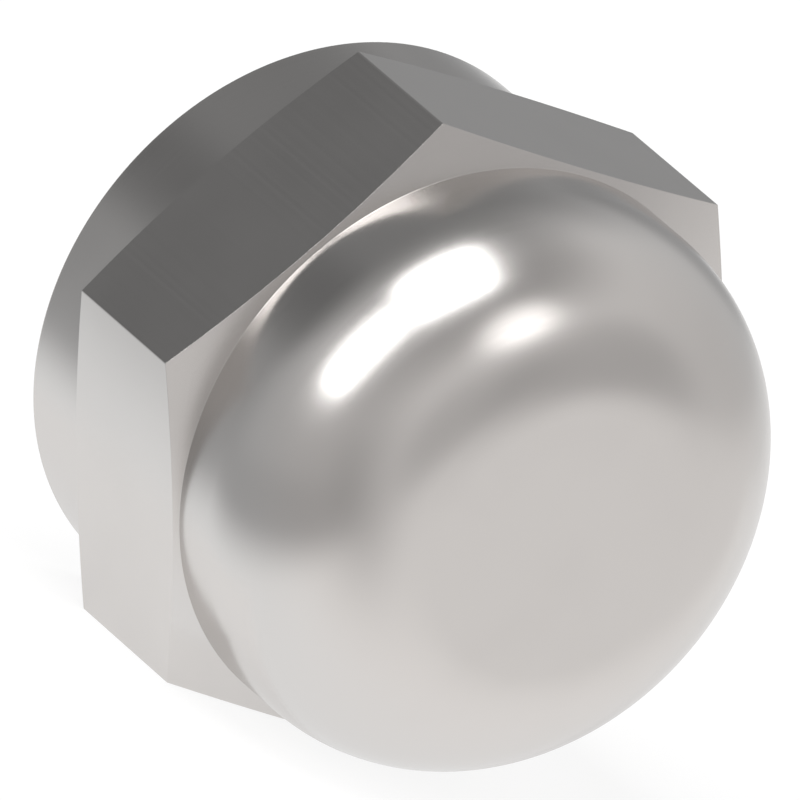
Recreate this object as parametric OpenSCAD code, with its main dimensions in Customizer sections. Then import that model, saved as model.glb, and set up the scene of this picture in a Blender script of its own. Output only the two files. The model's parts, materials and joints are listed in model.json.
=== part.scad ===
// Flare cap: a one-piece hexagon cap with a domed closed end, a turned skirt round its
// open end, and a threaded bore that ends in a conical flare seat.
// Lengths are in millimetres. The cap lies on one flat of its hexagon, with its axis
// level and its dome towards +X. The origin is on the surface it lies on, below the
// middle of its length.

/* [Hexagon] */
// Wrench size, across two opposite flats
hex_af = 22.225; // [21:0.005:28]
// Length of the six corner edges
hex_corner_len = 5.88; // [3:0.02:7.7]
// Slope of the chamfer at both ends of the hexagon, from the end face, in degrees
hex_chamfer_angle = 15; // [5:1:35]

/* [Turned ends] */
// Length of the whole cap, from the open end to the nose
cap_len = 18.2; // [16.5:0.05:24]
// How far the turned ends lie below the flats of the hexagon
turn_step = 0.23; // [0.05:0.01:0.9]
// Length from the open end to the corners of the hexagon
skirt_len = 4.0; // [1:0.05:5.8]
// Radius of the round between the wall of the dome and its flat nose
dome_round = 5.8; // [1:0.05:7.5]
// Thickness of the nose, behind the seat pocket
nose_wall = 1.8; // [1.2:0.05:5]

/* [Thread] */
// Nominal diameter of the thread
thread_d = 19.05; // [13:0.005:20]
// Pitch of the thread, which the bore is drilled smaller by
thread_pitch = 1.5875; // [0.75:0.0125:3]
// How far the lead-in at the mouth opens past the thread, on the radius
mouth_clear = 0.25; // [0.05:0.05:0.7]
// Slope of the lead-in at the mouth, from the axis, in degrees
mouth_angle = 45; // [30:1:60]
// How far the relief groove clears the thread, on the radius
relief_clear = 0.15; // [0.05:0.05:0.7]
// Length of the relief groove between the thread and the seat
relief_len = 2.2; // [1.2:0.1:4]

/* [Flare seat] */
// Slope of the seat cone, from the axis, in degrees
seat_angle = 45; // [35:1:60]
// Diameter of the flat-bottomed pocket at the small end of the seat
pocket_d = 11; // [5:0.1:14]
// Depth of the pocket beyond the seat
pocket_depth = 1.6; // [0.6:0.1:4]

/* [Hidden] */
$fn = 96;

// How far a cut runs on past the face that it opens
overrun = 0.5;
// How far the hexagon runs on inside the turned ends, so that the two join soundly
seam = 0.1;
steel = [0.64, 0.63, 0.62];

// Radii of the outside
corner_r = hex_af / sqrt(3);
end_r = hex_af / 2 - turn_step;
nose_r = end_r - dome_round;

// Radii of the inside
bore_r = (thread_d - thread_pitch) / 2;
mouth_r = thread_d / 2 + mouth_clear;
relief_r = thread_d / 2 + relief_clear;
pocket_r = pocket_d / 2;

// Places along the axis, measured from the open end
hex_top = skirt_len + hex_corner_len;
chamfer_rise = (corner_r - end_r) * tan(hex_chamfer_angle);
dome_start = cap_len - dome_round;
lead_in_end = (mouth_r - bore_r) / tan(mouth_angle);
pocket_floor = cap_len - nose_wall;
seat_end = pocket_floor - pocket_depth;
seat_start = seat_end - (bore_r - pocket_r) / tan(seat_angle);
relief_start = seat_start - relief_len;

// Half section of the turned outside: the radius runs along X, and the axis along Y
module turned_profile() {
    square([end_r, dome_start]);
    square([nose_r, cap_len]);
    intersection() {
        translate([nose_r, dome_start]) circle(r = dome_round);
        translate([0, dome_start]) square([end_r, dome_round]);
    }
}

// Skirt, core and dome, turned from the bar in one piece
module turned_outside() {
    rotate_extrude() turned_profile();
}

// Two blunt cones, base to base, that chamfer both ends of the hexagon
module chamfer_envelope() {
    reach = corner_r + overrun;
    slope = tan(hex_chamfer_angle);
    rotate_extrude()
        polygon([
            [0, skirt_len - corner_r * slope],
            [reach, skirt_len + overrun * slope],
            [reach, hex_top - overrun * slope],
            [0, hex_top + corner_r * slope]
        ]);
}

// Wrench hexagon, with one flat turned down
module wrench_hexagon() {
    hex_from = skirt_len - chamfer_rise - seam;
    hex_to = hex_top + chamfer_rise + seam;
    intersection() {
        translate([0, 0, hex_from])
            rotate(30)
            cylinder(h = hex_to - hex_from, r = corner_r, $fn = 6);
        chamfer_envelope();
    }
}

// Everything that is bored out of the open end: lead-in, threaded length, relief
// groove, seat cone and pocket
module bored_inside() {
    flare = tan(mouth_angle);
    rotate_extrude()
        polygon([
            [0, -overrun],
            [mouth_r + overrun * flare, -overrun],
            [bore_r, lead_in_end],
            [bore_r, relief_start],
            [relief_r, relief_start + relief_r - bore_r],
            [relief_r, seat_start],
            [bore_r, seat_start],
            [pocket_r, seat_end],
            [pocket_r, pocket_floor],
            [0, pocket_floor]
        ]);
}

// The cap with its open end on the ground plane and its axis upright
module upright_cap() {
    difference() {
        union() {
            turned_outside();
            wrench_hexagon();
        }
        bored_inside();
    }
}

// The cap as it comes to rest
module flare_cap() {
    color(steel)
        translate([-cap_len / 2, 0, hex_af / 2])
        rotate([0, 90, 0])
        upright_cap();
}

flare_cap();
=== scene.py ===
"""Studio scene of a flare cap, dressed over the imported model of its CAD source.

The cap lies on one flat of its hexagon, with its axis level along X and its dome
towards +X. Lengths are in metres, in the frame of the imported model.
"""

import json
import logging
import math
from dataclasses import dataclass, field
from enum import Enum
from typing import Union

import bpy
from mathutils import Matrix, Vector

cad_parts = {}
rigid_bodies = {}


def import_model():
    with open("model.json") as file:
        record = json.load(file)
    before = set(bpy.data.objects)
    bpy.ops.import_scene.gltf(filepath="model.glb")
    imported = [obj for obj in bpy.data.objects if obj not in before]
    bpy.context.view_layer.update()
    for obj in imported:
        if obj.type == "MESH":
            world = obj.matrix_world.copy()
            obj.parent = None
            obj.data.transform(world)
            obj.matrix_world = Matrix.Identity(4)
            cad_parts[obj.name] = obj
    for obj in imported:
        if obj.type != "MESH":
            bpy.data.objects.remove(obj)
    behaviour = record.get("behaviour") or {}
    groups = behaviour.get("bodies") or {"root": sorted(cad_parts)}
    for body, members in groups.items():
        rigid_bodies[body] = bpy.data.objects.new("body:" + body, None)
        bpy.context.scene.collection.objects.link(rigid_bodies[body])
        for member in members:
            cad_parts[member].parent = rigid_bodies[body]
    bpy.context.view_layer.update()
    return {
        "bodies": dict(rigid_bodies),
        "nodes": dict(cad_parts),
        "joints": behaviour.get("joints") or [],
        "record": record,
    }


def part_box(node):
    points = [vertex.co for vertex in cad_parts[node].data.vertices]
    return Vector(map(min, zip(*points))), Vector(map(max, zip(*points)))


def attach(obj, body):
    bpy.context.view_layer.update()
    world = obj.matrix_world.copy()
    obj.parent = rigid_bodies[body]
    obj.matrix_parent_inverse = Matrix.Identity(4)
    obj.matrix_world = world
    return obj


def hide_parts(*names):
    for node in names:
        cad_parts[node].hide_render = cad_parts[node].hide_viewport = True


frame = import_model()

MM = 0.001
FLATS = 6
FLAT_TURN = 2 * math.pi / FLATS
TO_CORNER = 1 / math.cos(FLAT_TURN / 2)
LOG = logging.getLogger("flare_cap")

# Sockets of a Mix node that mixes colours
MIX_FACTOR = 0
MIX_LOW = 6
MIX_HIGH = 7
MIX_RESULT = 2

Point = tuple[float, float, float]
Feed = Union["Wire", float, str, bool, tuple, bpy.types.ID]


class Zone(Enum):
    """How a stretch of the surface was finished, as (drawn, bored) attribute values."""

    TURNED = (0.0, 0.0)
    DRAWN = (1.0, 0.0)
    BORED = (0.0, 1.0)


class Side(Enum):
    """Which end of the hexagon an edge belongs to, and the way its chamfer moves."""

    MOUTH = -1.0
    DOME = 1.0


class Wire:
    """An output of a node. Python's operators on it add Math nodes to its tree."""

    def __init__(self, graph: "Graph", socket: bpy.types.NodeSocket) -> None:
        """Keeps the tree and the output.

        Args:
            graph: the tree that new nodes go into.
            socket: the output that this wire starts from.
        """
        self.graph = graph
        self.socket = socket

    def out(self, name: str) -> "Wire":
        """Another output of the same node.

        Args:
            name: the output's name.

        Returns:
            A wire from that output.
        """
        return Wire(self.graph, self.socket.node.outputs[name])

    def math(self, operation: str, *others: Feed) -> "Wire":
        """A Math node with this wire as its first value.

        Args:
            operation: the node's operation.
            others: the values or wires after it.

        Returns:
            A wire from the result.
        """
        feeds = dict(enumerate((self, *others)))
        return self.graph.add("ShaderNodeMath", {"operation": operation}, feeds)

    def __add__(self, other: Feed) -> "Wire":
        """Sum."""
        return self.math("ADD", other)

    def __radd__(self, other: float) -> "Wire":
        """Sum with a number on the left."""
        return self.math("ADD", other)

    def __sub__(self, other: Feed) -> "Wire":
        """Difference."""
        return self.math("SUBTRACT", other)

    def __rsub__(self, other: float) -> "Wire":
        """Difference from a number on the left."""
        return self.math("MULTIPLY_ADD", -1.0, other)

    def __mul__(self, other: Feed) -> "Wire":
        """Product."""
        return self.math("MULTIPLY", other)

    def __rmul__(self, other: float) -> "Wire":
        """Product with a number on the left."""
        return self.math("MULTIPLY", other)

    def __truediv__(self, other: Feed) -> "Wire":
        """Quotient."""
        return self.math("DIVIDE", other)

    def __gt__(self, other: Feed) -> "Wire":
        """1 where this is larger, otherwise 0."""
        return self.math("GREATER_THAN", other)


class Graph:
    """A node tree that is written as Python expressions."""

    def __init__(self, tree: bpy.types.NodeTree) -> None:
        """Empties the tree.

        Args:
            tree: the tree to fill.
        """
        self.tree = tree
        tree.nodes.clear()

    def add(
        self,
        kind: str,
        settings: dict[str, object] | None = None,
        feeds: dict[int | str, Feed] | None = None,
        output: int | str = 0,
    ) -> Wire:
        """Adds a node.

        Args:
            kind: the node's type.
            settings: its properties, which are set before its sockets are fed.
            feeds: values or wires for its inputs, by name or by index.
            output: the output that the wire starts from, by name or by index.

        Returns:
            A wire from that output, or from the first input of a node that has none.
        """
        node = self.tree.nodes.new(kind)
        for name, value in (settings or {}).items():
            setattr(node, name, value)
        for key, value in (feeds or {}).items():
            if isinstance(value, Wire):
                self.tree.links.new(value.socket, node.inputs[key])
            else:
                node.inputs[key].default_value = value
        if not node.outputs:
            return Wire(self, node.inputs[0])
        return Wire(self, node.outputs[output])

    def mix(self, factor: Feed, low: Feed, high: Feed) -> Wire:
        """A colour between two others.

        Args:
            factor: 0 for the low colour, 1 for the high one.
            low: colour or wire.
            high: colour or wire.

        Returns:
            A wire from the mixed colour.
        """
        settings = {"data_type": "RGBA"}
        feeds = {MIX_FACTOR: factor, MIX_LOW: low, MIX_HIGH: high}
        return self.add("ShaderNodeMix", settings, feeds, MIX_RESULT)

    def ease(self, value: Wire, start: float, end: float) -> Wire:
        """A smooth step.

        Args:
            value: what it follows.
            start: the value at which it leaves 0.
            end: the value at which it reaches 1.

        Returns:
            A wire from the step.
        """
        settings = {"interpolation_type": "SMOOTHSTEP"}
        feeds = {"Value": value, "From Min": start, "From Max": end}
        return self.add("ShaderNodeMapRange", settings, feeds)


@dataclass(frozen=True)
class Corner:
    """A corner of the half section.

    Fields: its distance from the mouth, its distance from the axis, the radius of the
    round on it, the finish from here to the next corner, and the end of the hexagon
    that it is an edge of, if it is one.
    """

    place: float
    radius: float
    rounding: float = 0.0
    zone: Zone = Zone.TURNED
    side: Side | None = None


@dataclass(frozen=True)
class Station:
    """A ring of the cap's mesh, before the lathe turns it.

    Fields: distance from the mouth, distance from the axis, 1 if it follows the
    hexagon, how far it moves along the axis as the hexagon draws it in, 1 if it winds
    with the thread, and its finish.
    """

    place: float
    radius: float
    hexed: float
    rise: float
    wound: float
    zone: Zone


@dataclass(frozen=True)
class LatheTree:
    """Geometry Nodes that turn the rings of a half section into the closed cap.

    Each ring is a row of a grid. Its columns crowd at the corners of the hexagon, rings
    marked hexed are drawn in to its flats, and rings marked wound climb a pitch a turn.
    Points closer than merge_distance are joined, which closes the seam and the poles.
    The marks of two neighbouring flats start mark_gap half widths of the hexagon apart,
    so that no two flats have the same ones.
    """

    name: str = "lathe"
    merge_distance: float = 1e-7
    mark_gap: float = 4.0

    def sampled(self, graph: Graph, section: Wire, row: Wire, name: str) -> Wire:
        """A value of the ring that a grid point belongs to.

        Args:
            graph: the tree.
            section: the half section.
            row: number of the ring.
            name: the attribute's name.

        Returns:
            A wire from the ring's value.
        """
        value = graph.add("GeometryNodeInputNamedAttribute", {}, {"Name": name})
        feeds = {"Geometry": section, "Value": value, "Index": row}
        return graph.add("GeometryNodeSampleIndex", {}, feeds)

    def sockets(self, tree: bpy.types.NodeTree) -> None:
        """Gives the tree its named inputs and its output.

        Args:
            tree: the tree.
        """
        ports = tree.interface
        ports.new_socket("Section", in_out="INPUT", socket_type="NodeSocketGeometry")
        ports.new_socket("Columns", in_out="INPUT", socket_type="NodeSocketInt")
        for name in (
            "Across Flats",
            "Corner Round",
            "Mouth",
            "Axis Height",
            "Pitch",
            "Thread Start",
            "Thread End",
            "Mouth Radius",
            "Lead-in Slope",
            "Bore Radius",
            "Relief Start",
        ):
            ports.new_socket(name, in_out="INPUT", socket_type="NodeSocketFloat")
        ports.new_socket("Material", in_out="INPUT", socket_type="NodeSocketMaterial")
        ports.new_socket("Cap", in_out="OUTPUT", socket_type="NodeSocketGeometry")

    def build(self) -> bpy.types.NodeTree:
        """Makes the tree.

        Returns:
            The tree, ready for a Nodes modifier.
        """
        tree = bpy.data.node_groups.new(self.name, "GeometryNodeTree")
        self.sockets(tree)
        graph = Graph(tree)
        size = graph.add("NodeGroupInput")
        section = size.out("Section")

        count = graph.add(
            "GeometryNodeAttributeDomainSize", {}, {"Geometry": section}
        )
        columns = size.out("Columns")
        grid = graph.add(
            "GeometryNodeMeshGrid",
            {},
            {"Vertices X": columns * FLATS + 1.0, "Vertices Y": count},
        )
        index = graph.add("GeometryNodeInputIndex")
        column = ((index + 0.5) / count).math("FLOOR")
        row = index - column * count

        # Angle of each column, counted from the middle of its flat and from the first flat
        flat = ((column + 0.5) / columns).math("FLOOR")
        share = (column - flat * columns) / columns
        lean = ((share - 0.5) * math.pi).math("SINE") * (FLAT_TURN / 2)
        angle = flat * FLAT_TURN + lean

        # Outline of the hexagon, with its corners rounded a little
        half = size.out("Across Flats") * 0.5
        corner = half * TO_CORNER
        small = size.out("Corner Round")
        to_flat = half / lean.math("COSINE")
        centre = corner - small * TO_CORNER
        off_corner = FLAT_TURN / 2 - lean.math("ABSOLUTE")
        across = (centre * off_corner.math("SINE")).math("MINIMUM", small)
        to_round = centre * off_corner.math("COSINE") + (
            small * small - across * across
        ).math("SQRT")
        half_flat = (half - small) * math.tan(FLAT_TURN / 2)
        last_flat = (half_flat / half).math("ARCTANGENT")
        on_round = lean.math("ABSOLUTE") > last_flat
        outline = to_flat + on_round * (to_round - to_flat)
        drawn_in = (corner - outline) * self.sampled(graph, section, row, "hexed")

        # Place and radius of each point, as its ring gives them
        place = self.sampled(graph, section, row, "place")
        radius = self.sampled(graph, section, row, "radius") - drawn_in
        place = place + drawn_in * self.sampled(graph, section, row, "rise")

        # Rings of the thread climb a pitch a turn, and run out in the lead-in and the relief
        wound = self.sampled(graph, section, row, "wound")
        turned = (angle + FLAT_TURN / 2) / (2 * math.pi)
        climbed = (place + size.out("Pitch") * turned).math(
            "MAXIMUM", size.out("Thread Start")
        ).math("MINIMUM", size.out("Thread End"))
        place = place + wound * (climbed - place)
        lead_in = size.out("Mouth Radius") - place * size.out("Lead-in Slope")
        relief = size.out("Bore Radius") + place - size.out("Relief Start")
        cut = radius.math("MAXIMUM", lead_in).math("MAXIMUM", relief)
        radius = radius + wound * (cut - radius)

        at = graph.add(
            "ShaderNodeCombineXYZ",
            {},
            {
                "X": size.out("Mouth") + place,
                "Y": radius * angle.math("SINE") * -1.0,
                "Z": size.out("Axis Height") + radius * angle.math("COSINE"),
            },
        )

        # Machining marks follow the section on turned faces, and the flat's width on drawn ones
        drawn = self.sampled(graph, section, row, "drawn")
        run = self.sampled(graph, section, row, "run")
        over_flat = half * lean.math("TANGENT") + half * self.mark_gap * flat
        marks = run + drawn * (over_flat - run)
        bored = self.sampled(graph, section, row, "bored")
        mesh = grid
        for name, value in (("marks", marks), ("drawn", drawn), ("bored", bored)):
            feeds = {"Geometry": mesh, "Name": name, "Value": value}
            mesh = graph.add("GeometryNodeStoreNamedAttribute", {}, feeds)
        mesh = graph.add(
            "GeometryNodeSetPosition", {}, {"Geometry": mesh, "Position": at}
        )
        mesh = graph.add(
            "GeometryNodeMergeByDistance",
            {},
            {"Geometry": mesh, "Distance": self.merge_distance},
        )
        mesh = graph.add("GeometryNodeSetShadeSmooth", {}, {"Geometry": mesh})
        mesh = graph.add("GeometryNodeRealizeInstances", {}, {"Geometry": mesh})
        mesh = graph.add(
            "GeometryNodeSetMaterial",
            {},
            {"Geometry": mesh, "Material": size.out("Material")},
        )
        graph.add("NodeGroupOutput", {}, {"Cap": mesh})
        return tree


@dataclass(frozen=True)
class SteelFinish:
    """Polished steel, with the faint marks of the lathe and of the drawn bar.

    Roughness is given for turned, drawn and bored faces. The marks are fine lines, and
    the clouds are the slow changes of a hand-polished surface, from the worn colour
    where their noise is below cloud_low to the plain one above cloud_high. The edge
    tint is what the steel keeps of the light that grazes it.
    """

    name: str = "polished_steel"
    colour: Point = (0.656, 0.634, 0.618)
    worn_colour: Point = (0.639, 0.617, 0.601)
    edge_tint: Point = (0.92, 0.92, 0.92)
    turned_roughness: float = 0.245
    drawn_roughness: float = 0.245
    bored_roughness: float = 0.36
    roughness_spread: float = 0.04
    mark_spacing: float = 0.15 * MM
    mark_height: float = 0.0001 * MM
    bored_mark_gain: float = 8.0
    cloud_size: float = 5.0 * MM
    cloud_low: float = 0.25
    cloud_high: float = 0.6
    noise_detail: float = 2.0

    def attribute(self, graph: Graph, name: str) -> Wire:
        """A value that the lathe left on the mesh.

        Args:
            graph: the material's tree.
            name: the attribute's name.

        Returns:
            A wire from its value.
        """
        return graph.add("ShaderNodeAttribute", {"attribute_name": name}, {}, "Fac")

    def build(self) -> bpy.types.Material:
        """Makes the material.

        Returns:
            The material.
        """
        material = bpy.data.materials.new(self.name)
        material.use_nodes = True
        graph = Graph(material.node_tree)
        marks = self.attribute(graph, "marks")
        drawn = self.attribute(graph, "drawn")
        bored = self.attribute(graph, "bored")

        lines = graph.add(
            "ShaderNodeTexNoise",
            {"noise_dimensions": "1D"},
            {
                "W": marks / self.mark_spacing,
                "Scale": 1.0,
                "Detail": self.noise_detail,
            },
        )
        where = graph.add("ShaderNodeTexCoord", {}, {}, "Object")
        clouds = graph.add(
            "ShaderNodeTexNoise",
            {},
            {
                "Vector": where,
                "Scale": 1.0 / self.cloud_size,
                "Detail": self.noise_detail,
            },
        )

        low, high = (*self.worn_colour, 1.0), (*self.colour, 1.0)
        cloudy = graph.ease(clouds, self.cloud_low, self.cloud_high)
        colour = graph.mix(cloudy, low, high)
        roughness = (
            self.turned_roughness
            + drawn * (self.drawn_roughness - self.turned_roughness)
            + bored * (self.bored_roughness - self.turned_roughness)
            + (clouds - 0.5) * self.roughness_spread
            + (lines - 0.5) * self.roughness_spread
        )
        height = lines * (1.0 + bored * (self.bored_mark_gain - 1.0))
        normal = graph.add(
            "ShaderNodeBump",
            {},
            {"Height": height, "Distance": self.mark_height, "Strength": 1.0},
        )
        shader = graph.add(
            "ShaderNodeBsdfPrincipled",
            {},
            {
                "Base Color": colour,
                "Metallic": 1.0,
                "Specular Tint": (*self.edge_tint, 1.0),
                "Roughness": roughness,
                "Normal": normal,
            },
        )
        graph.add("ShaderNodeOutputMaterial", {}, {"Surface": shader})
        return material


@dataclass
class FlareCap:
    """The cap: a half section of turned and bored faces, swept into its hexagon.

    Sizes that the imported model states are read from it, and the others repeat those
    of the CAD source. The thread has flanks of 30 degrees, root_share is the share of
    the pitch that its flat root takes, and flank_shares are the places of the rings
    between a flank's ends. A ring lies a guard outside each round, so that the smooth
    shading stays within it, and the thread ends a run_out inside the bored edges. A
    round larger than coarse_from has a ring every coarse_step, and a smaller one has
    fine_steps of them. Each flat has the given number of columns.
    """

    mouth: float
    axis_height: float
    across_flats: float
    length: float
    bore_radius: float
    finish: SteelFinish = field(default_factory=SteelFinish)

    turn_step: float = 0.23 * MM
    skirt_length: float = 4.0 * MM
    hexagon_length: float = 5.88 * MM
    chamfer_angle: float = math.radians(15)
    dome_round: float = 5.8 * MM

    thread_diameter: float = 19.05 * MM
    pitch: float = 1.5875 * MM
    flank_angle: float = math.radians(30)
    root_share: float = 0.125
    flank_shares: tuple[float, ...] = (0.04, 0.5, 0.96)
    mouth_radius: float = 9.775 * MM
    mouth_angle: float = math.radians(45)
    relief_radius: float = 9.675 * MM
    relief_length: float = 2.2 * MM
    pocket_radius: float = 5.5 * MM
    pocket_depth: float = 1.6 * MM
    nose_wall: float = 1.8 * MM
    seat_angle: float = math.radians(45)

    corner_round: float = 0.03 * MM
    edge_round: float = 0.008 * MM
    foot_round: float = 0.01 * MM
    rim_round: float = 0.12 * MM
    inner_round: float = 0.06 * MM
    guard: float = 0.01 * MM
    run_out: float = 0.06 * MM
    coarse_from: float = 1.0 * MM
    coarse_step: float = math.radians(3)
    fine_steps: int = 4
    columns: int = 48

    @classmethod
    def from_frame(cls, packed: dict[str, object]) -> "FlareCap":
        """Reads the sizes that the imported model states.


        Returns:
            The cap.
        """
        low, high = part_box("flare_cap")
        mounts = {mount["name"]: mount for mount in packed["record"]["mounts"]}
        return cls(
            mouth=low.x,
            axis_height=(low.z + high.z) / 2,
            across_flats=high.z - low.z,
            length=high.x - low.x,
            bore_radius=mounts["thread"]["dims"]["r_mm"] * MM,
        )

    @property
    def corner_radius(self) -> float:
        """Distance from the axis to the corners of the hexagon."""
        return self.across_flats / 2 * TO_CORNER

    @property
    def end_radius(self) -> float:
        """Radius of the skirt and of the dome's wall."""
        return self.across_flats / 2 - self.turn_step

    @property
    def seat_end(self) -> float:
        """Where the seat meets the pocket, from the mouth."""
        return self.length - self.nose_wall - self.pocket_depth

    @property
    def seat_start(self) -> float:
        """Where the seat meets the relief groove, from the mouth."""
        drop = self.bore_radius - self.pocket_radius
        return self.seat_end - drop / math.tan(self.seat_angle)

    @property
    def relief_start(self) -> float:
        """Where the slope into the relief groove leaves the bore, from the mouth."""
        return self.seat_start - self.relief_length

    @property
    def relief_top(self) -> float:
        """Where that slope ends at the full radius of the groove."""
        return self.relief_start + self.relief_radius - self.bore_radius

    @property
    def lead_in_end(self) -> float:
        """Where the lead-in ends at the bore, from the mouth."""
        drop = self.mouth_radius - self.bore_radius
        return drop / math.tan(self.mouth_angle)

    def outside(self) -> list[Corner]:
        """The outside of the half section.

        Returns:
            Corners from the end of the lead-in, round the mouth, to the nose's middle.
        """
        rise = (self.corner_radius - self.end_radius) * math.tan(self.chamfer_angle)
        hex_end = self.skirt_length + self.hexagon_length
        corner, end = self.corner_radius, self.end_radius
        return [
            Corner(self.lead_in_end, self.bore_radius, zone=Zone.BORED),
            Corner(0.0, self.mouth_radius, self.rim_round),
            Corner(0.0, end, self.rim_round),
            Corner(self.skirt_length - rise, end, self.foot_round),
            Corner(
                self.skirt_length, corner, self.edge_round, Zone.DRAWN, Side.MOUTH
            ),
            Corner(hex_end, corner, self.edge_round, Zone.TURNED, Side.DOME),
            Corner(hex_end + rise, end, self.foot_round),
            Corner(self.length, end, self.dome_round),
            Corner(self.length, 0.0),
        ]

    def inside(self) -> list[Corner]:
        """The bored end of the half section.

        Returns:
            Corners from the middle of the pocket's floor to the start of the relief.
        """
        floor = self.length - self.nose_wall
        small, bored = self.inner_round, Zone.BORED
        return [
            Corner(floor, 0.0, 0.0, bored),
            Corner(floor, self.pocket_radius, small, bored),
            Corner(self.seat_end, self.pocket_radius, small, bored),
            Corner(self.seat_start, self.bore_radius, small, bored),
            Corner(self.seat_start, self.relief_radius, small, bored),
            Corner(self.relief_top, self.relief_radius, small, bored),
            Corner(self.relief_start, self.bore_radius, small, bored),
        ]

    def rounded(self, before: Corner, corner: Corner, after: Corner) -> list[Station]:
        """Rings that round a corner, with a ring close outside each end of the round.

        Args:
            before: the corner ahead of it.
            corner: the corner.
            after: the corner behind it.

        Returns:
            The rings, in order along the section.
        """
        here = Vector((corner.place, corner.radius))
        back = (Vector((before.place, before.radius)) - here).normalized()
        ahead = (Vector((after.place, after.radius)) - here).normalized()
        opening = back.angle(ahead)
        reach = corner.rounding / math.tan(opening / 2)
        middle = here + (back + ahead).normalized() * (
            corner.rounding / math.sin(opening / 2)
        )
        swing = math.pi - opening
        coarse = corner.rounding > self.coarse_from
        steps = math.ceil(swing / self.coarse_step) if coarse else self.fine_steps
        first = here + back * reach - middle
        way = 1.0 if first.x * ahead.y - first.y * ahead.x > 0 else -1.0

        points = [here + back * (reach + self.guard)]
        for step in range(steps + 1):
            turn = Matrix.Rotation(way * swing * step / steps, 2)
            points.append(middle + turn @ first)
        points.append(here + ahead * (reach + self.guard))

        hexed = 1.0 if corner.side else 0.0
        rise = corner.side.value * math.tan(self.chamfer_angle) if corner.side else 0.0
        zones = [before.zone] * 2 + [corner.zone] * (len(points) - 2)
        if corner.zone is Zone.DRAWN:
            zones = [before.zone] * (len(points) - 1) + [corner.zone]
        if before.zone is Zone.DRAWN:
            zones = [before.zone] + [corner.zone] * (len(points) - 1)
        return [
            Station(p.x, p.y, hexed, rise, 0.0, zone) for p, zone in zip(points, zones)
        ]

    def chain(self, corners: list[Corner]) -> list[Station]:
        """Rings for every corner between the first and the last.

        Args:
            corners: the corners.

        Returns:
            The rings, in order.
        """
        stations: list[Station] = []
        for before, corner, after in zip(corners, corners[1:], corners[2:]):
            stations += self.rounded(before, corner, after)
        return stations

    def thread_profile(self) -> list[tuple[float, float]]:
        """One turn of the thread: crest, rising flank, root and falling flank.

        Returns:
            How far along the turn each ring lies, and its distance from the axis.
        """
        crest, root = self.bore_radius, self.thread_diameter / 2
        depth = root - crest
        flank = depth * math.tan(self.flank_angle)
        bottom = self.pitch * self.root_share
        rise_from = self.pitch - 2 * flank - bottom
        fall_from = rise_from + flank + bottom
        near, shares = self.guard, (0.0, *self.flank_shares)
        rising = [(rise_from + flank * s, crest + depth * s) for s in (*shares, 1.0)]
        falling = [(fall_from + flank * s, root - depth * s) for s in shares]
        return [
            (0.0, crest),
            (near, crest),
            (rise_from - near, crest),
            *rising,
            (rise_from + flank + near, root),
            (fall_from - near, root),
            *falling,
        ]

    def thread(self) -> list[Station]:
        """Rings of the thread, from the relief to the mouth.

        Returns:
            The rings, each of which winds once round the bore.
        """
        turns = math.ceil((self.thread_end - self.thread_start) / self.pitch) + 1
        starts = [self.thread_start + (k - 1) * self.pitch for k in range(turns + 1)]
        stations = [
            Station(start + along, radius, 0.0, 0.0, 1.0, Zone.BORED)
            for start in starts
            for along, radius in self.thread_profile()
        ]
        return stations[::-1]

    @property
    def thread_start(self) -> float:
        """Where the thread's rings begin, a little inside the mouth."""
        return self.run_out

    @property
    def thread_end(self) -> float:
        """Where the thread's rings end, a little ahead of the relief groove."""
        return self.relief_top - self.run_out

    def stations(self) -> list[Station]:
        """All rings of the cap.

        Returns:
            The rings from the middle of the pocket's floor to the middle of the nose.
        """
        inside, outside = self.inside(), self.outside()
        first, last = inside[0], outside[-1]
        pole_in = Station(first.place, 0.0, 0.0, 0.0, 0.0, first.zone)
        pole_out = Station(last.place, 0.0, 0.0, 0.0, 0.0, last.zone)
        bore = self.chain(inside)
        body = self.chain(outside)
        return [pole_in, *bore, *self.thread(), *body, pole_out]

    def section_mesh(self) -> bpy.types.Mesh:
        """The rings as loose points, with their values as attributes.

        Returns:
            The mesh that the lathe reads.
        """
        stations = self.stations()
        spots = [Vector((s.place, s.radius)) for s in stations]
        run = [0.0]
        for here, there in zip(spots, spots[1:]):
            run.append(run[-1] + (there - here).length)
        mesh = bpy.data.meshes.new("half_section")
        mesh.from_pydata([(p.x, p.y, 0.0) for p in spots], [], [])
        columns = {
            "place": [s.place for s in stations],
            "radius": [s.radius for s in stations],
            "hexed": [s.hexed for s in stations],
            "rise": [s.rise for s in stations],
            "wound": [s.wound for s in stations],
            "drawn": [s.zone.value[0] for s in stations],
            "bored": [s.zone.value[1] for s in stations],
            "run": run,
        }
        for name, values in columns.items():
            attribute = mesh.attributes.new(name, "FLOAT", "POINT")
            attribute.data.foreach_set("value", values)
        return mesh

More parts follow.
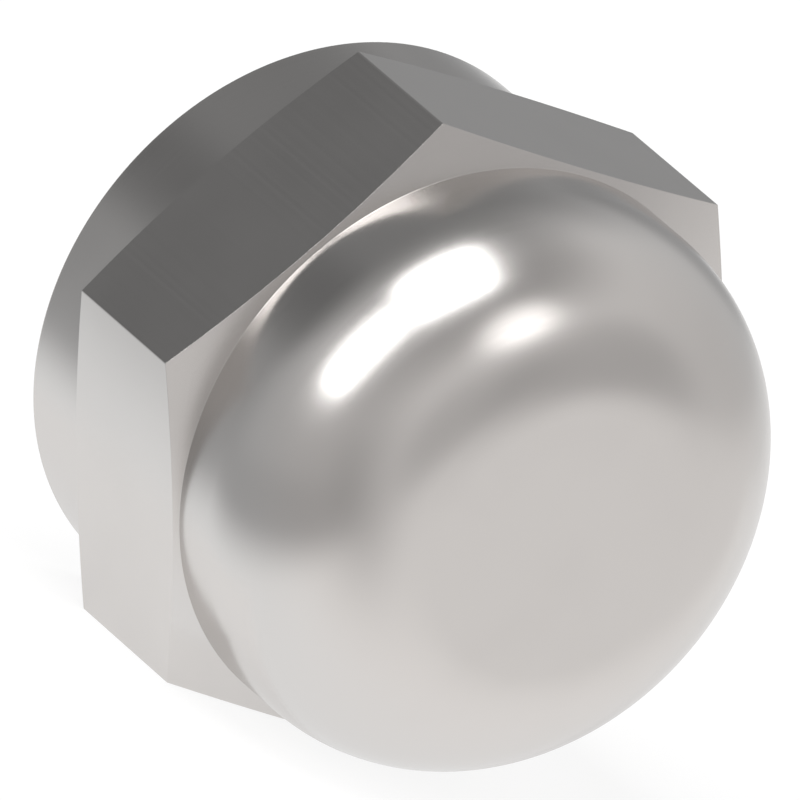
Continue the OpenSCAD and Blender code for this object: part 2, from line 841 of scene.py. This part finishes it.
    def build(self) -> bpy.types.Object:
        """Turns the section into the cap's mesh, dresses it and seats it on its body.

        Returns:
            The piece.
        """
        tree = LatheTree().build()
        blank = bpy.data.objects.new("blank", self.section_mesh())
        bpy.context.scene.collection.objects.link(blank)
        values = {
            "Columns": self.columns,
            "Across Flats": self.across_flats,
            "Corner Round": self.corner_round,
            "Mouth": self.mouth,
            "Axis Height": self.axis_height,
            "Pitch": self.pitch,
            "Thread Start": self.thread_start,
            "Thread End": self.thread_end,
            "Mouth Radius": self.mouth_radius,
            "Lead-in Slope": math.tan(self.mouth_angle),
            "Bore Radius": self.bore_radius,
            "Relief Start": self.relief_start,
            "Material": self.finish.build(),
        }
        lathe = blank.modifiers.new("lathe", "NODES")
        lathe.node_group = tree
        for item in tree.interface.items_tree:
            if item.in_out == "INPUT" and item.name in values:
                lathe[item.identifier] = values[item.name]
        turned = bpy.data.meshes.new_from_object(
            blank.evaluated_get(bpy.context.evaluated_depsgraph_get())
        )
        turned.name = "turned_cap"
        bpy.data.objects.remove(blank)
        piece = bpy.data.objects.new("turned_cap", turned)
        bpy.context.scene.collection.objects.link(piece)
        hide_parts("flare_cap")
        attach(piece, "root")
        faces = len(turned.polygons)
        LOG.info("%s: %d points, %d faces", piece.name, len(turned.vertices), faces)
        return piece


@dataclass(frozen=True)
class FloorFinish:
    """Matt white floor, lifted to white where a camera or a reflection sees it."""

    name: str = "white_floor"
    colour: Point = (0.2, 0.2, 0.2)
    lift: float = 0.835

    def build(self) -> bpy.types.Material:
        """Makes the material.

        Returns:
            The material.
        """
        material = bpy.data.materials.new(self.name)
        material.use_nodes = True
        graph = Graph(material.node_tree)
        matt = graph.add(
            "ShaderNodeBsdfDiffuse", {}, {"Color": (*self.colour, 1.0)}
        )
        path = graph.add("ShaderNodeLightPath")
        seen = path.out("Is Camera Ray")
        for ray in ("Is Glossy Ray", "Is Transmission Ray"):
            seen = seen.math("MAXIMUM", path.out(ray))
        glow = graph.add("ShaderNodeEmission", {}, {"Strength": seen * self.lift})
        both = graph.add("ShaderNodeAddShader", {}, {0: matt, 1: glow})
        graph.add("ShaderNodeOutputMaterial", {}, {"Surface": both})
        return material


@dataclass(frozen=True)
class SoftBox:
    """A lamp that shines on the cap from a flat sheet.

    Fields: its name, where it stands as seen from the cap along X, Y and Z, its width,
    its height, and its power in watts.
    """

    name: str
    place: Point
    width: float
    height: float
    power: float

    def build(self, target: Vector, across: Vector) -> bpy.types.Object:
        """Makes the lamp.

        Args:
            target: the point that it faces.
            across: the direction that its width runs along.

        Returns:
            The lamp.
        """
        light = bpy.data.lights.new(self.name, "AREA")
        light.shape = "RECTANGLE"
        light.size = self.width
        light.size_y = self.height
        light.energy = self.power
        lamp = bpy.data.objects.new(self.name, light)
        bpy.context.scene.collection.objects.link(lamp)
        facing = Vector(self.place).normalized()
        right = (across - facing * across.dot(facing)).normalized()
        up = facing.cross(right)
        turn = Matrix((right, up, facing)).transposed().to_4x4()
        lamp.matrix_world = Matrix.Translation(target + Vector(self.place)) @ turn
        lamp.visible_camera = False
        return lamp


@dataclass(frozen=True)
class WallPart:
    """A dimmer or brighter part of the walls, seen from the cap.

    Fields: its compass direction from X towards Y and its height above the horizon,
    how far from its middle it stays at its full and where it ends, all in degrees,
    and the share of light that it adds, or takes where it is below 0.
    """

    compass: float
    height: float
    inner: float
    outer: float
    gain: float

    @property
    def middle(self) -> Point:
        """The direction of its middle."""
        turn, rise = math.radians(self.compass), math.radians(self.height)
        level = math.cos(rise)
        return (level * math.cos(turn), level * math.sin(turn), math.sin(rise))


@dataclass(frozen=True)
class Walls:
    """Tone of the studio's walls, which the steel mirrors.

    They are pale low down and grey above a horizon that dips towards the lamps' side.
    The step between the two runs from tilt_from to tilt_to, as sines of the height over
    that horizon. The grey changes by side_gain along Y, so that it is brighter on the
    lamps' side. The walls are warm ahead of the nose and neutral behind the mouth, and
    warm_from and warm_to are cosines of the angle from X. Some parts are dimmer, and
    one is lit.
    """

    pale: float = 0.888
    grey: float = 0.837
    side_gain: float = -0.206
    tilt: float = math.radians(16)
    tilt_from: float = -0.22
    tilt_to: float = -0.04
    warm: Point = (1.014, 1.0, 0.992)
    neutral: Point = (0.985, 1.0, 1.01)
    warm_from: float = -0.9
    warm_to: float = 0.3
    parts: tuple[WallPart, ...] = (
        # Unlit end of the room, behind the mouth
        WallPart(-170.0, 30.0, 0.0, 60.0, -0.75),
        # Grey screen straight ahead of the nose
        WallPart(0.0, 10.0, 0.0, 25.0, -0.35),
        # Dim ground on the lamps' side
        WallPart(-90.0, -40.0, 45.0, 100.0, -0.5),
        # Dark flag behind the mouth, on the lamps' side
        WallPart(-135.0, 20.0, 0.0, 20.0, -0.5),
        # Faint shade on the ground, ahead on the lamps' side
        WallPart(-45.0, -15.0, 5.0, 20.0, -0.1),
        # Grey screen on the far side of the nose
        WallPart(30.0, 20.0, 10.0, 30.0, -0.3),
        # Dark ceiling round the lamps
        WallPart(-70.0, 60.0, 0.0, 60.0, -0.7),
        # Grey screen behind the mouth, on the far side
        WallPart(135.0, 15.0, 5.0, 20.0, -0.4),
        # Lit panel above the nose
        WallPart(-5.0, 45.0, 5.0, 15.0, 3.0),
    )

    def along(self, graph: Graph, way: Wire, direction: Point) -> Wire:
        """How far a direction points along another.

        Args:
            graph: the tree.
            way: the direction.
            direction: the other one.

        Returns:
            A wire from the cosine between them.
        """
        settings = {"operation": "DOT_PRODUCT"}
        feeds = {0: way, 1: direction}
        return graph.add("ShaderNodeVectorMath", settings, feeds, "Value")

    def tone(self, graph: Graph, way: Wire) -> Wire:
        """How bright the room is in a direction.

        Args:
            graph: the tree.
            way: the direction, of length 1.

        Returns:
            A wire from the tone.
        """
        upright = (0.0, -math.sin(self.tilt), math.cos(self.tilt))
        height = self.along(graph, way, upright)
        rise = graph.ease(height, self.tilt_from, self.tilt_to)
        grey = self.grey + self.along(graph, way, (0.0, 1.0, 0.0)) * self.side_gain
        tone = self.pale + rise * (grey - self.pale)
        for part in self.parts:
            near = self.along(graph, way, part.middle)
            edge = math.cos(math.radians(part.outer))
            core = math.cos(math.radians(part.inner))
            tone = tone * (1.0 + graph.ease(near, edge, core) * part.gain)
        return tone

    def tint(self, graph: Graph, way: Wire) -> Wire:
        """The walls' tint in a direction.

        Args:
            graph: the tree.
            way: the direction, of length 1.

        Returns:
            A wire from the colour.
        """
        ahead = self.along(graph, way, (1.0, 0.0, 0.0))
        warmth = graph.ease(ahead, self.warm_from, self.warm_to)
        return graph.mix(warmth, (*self.neutral, 1.0), (*self.warm, 1.0))

    def build(self) -> bpy.types.World:
        """Makes the world.

        Returns:
            The world.
        """
        world = bpy.data.worlds.new("studio_walls")
        world.use_nodes = True
        graph = Graph(world.node_tree)
        way = graph.add("ShaderNodeTexCoord", {}, {}, "Generated")
        feeds = {"Color": self.tint(graph, way), "Strength": self.tone(graph, way)}
        walls = graph.add("ShaderNodeBackground", {}, feeds)
        graph.add("ShaderNodeOutputWorld", {}, {"Surface": walls})
        return world


@dataclass(frozen=True)
class PaintedReflectionSheet:
    """A glowing sheet beside and ahead of the cap, where only the steel mirrors it: painted
    reflection.

    Its glow paints the tone of the walls, as seen from the eye, and fades at its near edges to
    a painted bright floor, which shows no shadow of the cap. The side edge lies across Y and
    fades outwards over the side fade. The front edge lies across X and fades between two places
    ahead of it. The sheet takes no part in lighting the cap.
    """

    walls: Walls
    eye: Point
    name: str = "painted_reflection_sheet"
    near_tone: float = 1.03
    side_edge: float = -11.5 * MM
    side_fade: float = 8.0 * MM
    front_edge: float = 4.0 * MM
    front_from: float = 8.0 * MM
    front_to: float = 34.0 * MM
    reach: float = 4.0
    clearance: float = 0.02 * MM

    def finish(self) -> bpy.types.Material:
        """Makes the sheet's material, a glow that paints the reflection.

        Returns:
            The material.
        """
        material = bpy.data.materials.new(self.name)
        material.use_nodes = True
        graph = Graph(material.node_tree)
        where = graph.add("ShaderNodeTexCoord", {}, {}, "Object")
        offset = graph.add(
            "ShaderNodeVectorMath", {"operation": "SUBTRACT"}, {0: where, 1: self.eye}
        )
        way = graph.add(
            "ShaderNodeVectorMath", {"operation": "NORMALIZE"}, {0: offset}
        )
        along = graph.add("ShaderNodeSeparateXYZ", {}, {"Vector": where}, "X")
        side, fade = self.side_edge, self.side_fade
        near = graph.ease(along.out("Y"), side - fade, side)
        away = graph.ease(along, self.front_from, self.front_to)
        near = near * (1.0 - away)
        # Painted reflection: the glow takes the walls' tone, and near the cap a bright floor
        # tone without the cap's shadow
        tone = self.walls.tone(graph, way)
        tone = tone + near * (self.near_tone - tone)
        feeds = {"Color": self.walls.tint(graph, way), "Strength": tone}
        glow = graph.add("ShaderNodeEmission", {}, feeds)
        graph.add("ShaderNodeOutputMaterial", {}, {"Surface": glow})
        return material

    def build(self) -> bpy.types.Object:
        """Makes the glowing sheet of painted reflection.

        Returns:
            The sheet.
        """
        mesh = bpy.data.meshes.new(self.name)
        reach, front, side = self.reach, self.front_edge, self.side_edge
        outline = [
            (-reach, -reach),
            (reach, -reach),
            (reach, reach),
            (front, reach),
            (front, side),
            (-reach, side),
        ]
        corners = [(x, y, self.clearance) for x, y in outline]
        mesh.from_pydata(corners, [], [tuple(range(len(corners)))])
        mesh.materials.append(self.finish())
        glow_sheet = bpy.data.objects.new(self.name, mesh)
        bpy.context.scene.collection.objects.link(glow_sheet)
        # Seen only in reflections, where its glow paints the walls and a bright floor
        glow_sheet.visible_camera = False
        glow_sheet.visible_diffuse = False
        glow_sheet.visible_transmission = False
        glow_sheet.visible_shadow = False
        return glow_sheet


@dataclass
class Studio:
    """Floor, glowing sheet of painted reflection, walls and lamps, round a target on the cap's
    axis.

    The sheet's eye is a point near the nose, from which its painted tone is that of the walls.
    """

    target: Vector
    reflection_sheet_eye: Point = (12.0 * MM, -10.0 * MM, 10.0 * MM)
    floor_size: float = 8.0
    floor_finish: FloorFinish = field(default_factory=FloorFinish)
    walls: Walls = field(default_factory=Walls)
    lamps: tuple[SoftBox, ...] = (
        SoftBox("upper_lamp", (0.040, -0.530, 0.925), 0.64, 0.50, 5.9),
        SoftBox("lower_lamp", (0.125, -0.980, 0.465), 0.36, 0.58, 4.0),
    )

    def floor(self) -> bpy.types.Object:
        """Makes the floor.

        Returns:
            The floor.
        """
        reach = self.floor_size / 2
        mesh = bpy.data.meshes.new("floor")
        corners = [(-reach, -reach), (reach, -reach), (reach, reach), (-reach, reach)]
        mesh.from_pydata([(x, y, 0.0) for x, y in corners], [], [(0, 1, 2, 3)])
        mesh.materials.append(self.floor_finish.build())
        floor = bpy.data.objects.new("floor", mesh)
        bpy.context.scene.collection.objects.link(floor)
        return floor

    def build(self) -> None:
        """Makes the floor, the painted reflection sheet, the walls and the lamps."""
        self.floor()
        # Painted reflection: a glowing sheet that only the steel sees
        PaintedReflectionSheet(self.walls, self.reflection_sheet_eye).build()
        scene = bpy.context.scene
        scene.world = self.walls.build()
        scene.view_settings.view_transform = "Standard"
        for lamp in self.lamps:
            lamp.build(self.target, Vector((-1.0, 0.0, 0.0)))
        LOG.info("studio: floor, walls and %d lamps", len(self.lamps))


@dataclass(frozen=True)
class PhotoView:
    """The photograph's view, turned with the cap so that one flat faces down.

    Fields: the camera's compass direction and height as the photograph has them, how
    far it is then turned with the cap about X, the point at the middle of the picture,
    the width of what the picture shows there, the lens and the sensor in millimetres,
    and the nearest and farthest distance that the camera sees.
    """

    compass: float = math.radians(-30)
    height: float = math.radians(30)
    cap_turn: float = math.radians(30)
    middle: Point = (-0.6185 * MM, -1.4438 * MM, 11.7894 * MM)
    width: float = 27.93 * MM
    lens: float = 1500.0
    sensor: float = 36.0
    nearest: float = 0.05
    farthest: float = 50.0

    def turn(self) -> Matrix:
        """How the camera is turned.

        Returns:
            A matrix of the picture's right, up and towards-the-camera directions.
        """
        tipped = Matrix.Rotation(math.pi / 2 - self.height, 3, "X")
        aimed = Matrix.Rotation(math.pi / 2 + self.compass, 3, "Z") @ tipped
        return Matrix.Rotation(self.cap_turn, 3, "X") @ aimed

    def build(self) -> bpy.types.Object:
        """Makes the camera and hands it to the scene.

        Returns:
            The camera.
        """
        data = bpy.data.cameras.new("photo_view")
        data.lens = self.lens
        data.sensor_width = self.sensor
        data.clip_start = self.nearest
        data.clip_end = self.farthest
        camera = bpy.data.objects.new("photo_view", data)
        bpy.context.scene.collection.objects.link(camera)
        distance = self.width * self.lens / self.sensor
        turn = self.turn()
        place = Vector(self.middle) + turn @ Vector((0.0, 0.0, distance))
        camera.matrix_world = Matrix.Translation(place) @ turn.to_4x4()
        bpy.context.scene.camera = camera
        LOG.info("camera: %.3f m from the cap", distance)
        return camera


def main() -> None:
    """Builds the cap, the studio and the camera, in that order."""
    logging.basicConfig(level=logging.INFO, format="%(message)s")
    cap = FlareCap.from_frame(frame)
    cap.build()
    Studio(target=Vector((0.0, 0.0, cap.axis_height))).build()
    PhotoView().build()


if __name__ == "__main__":
    main()
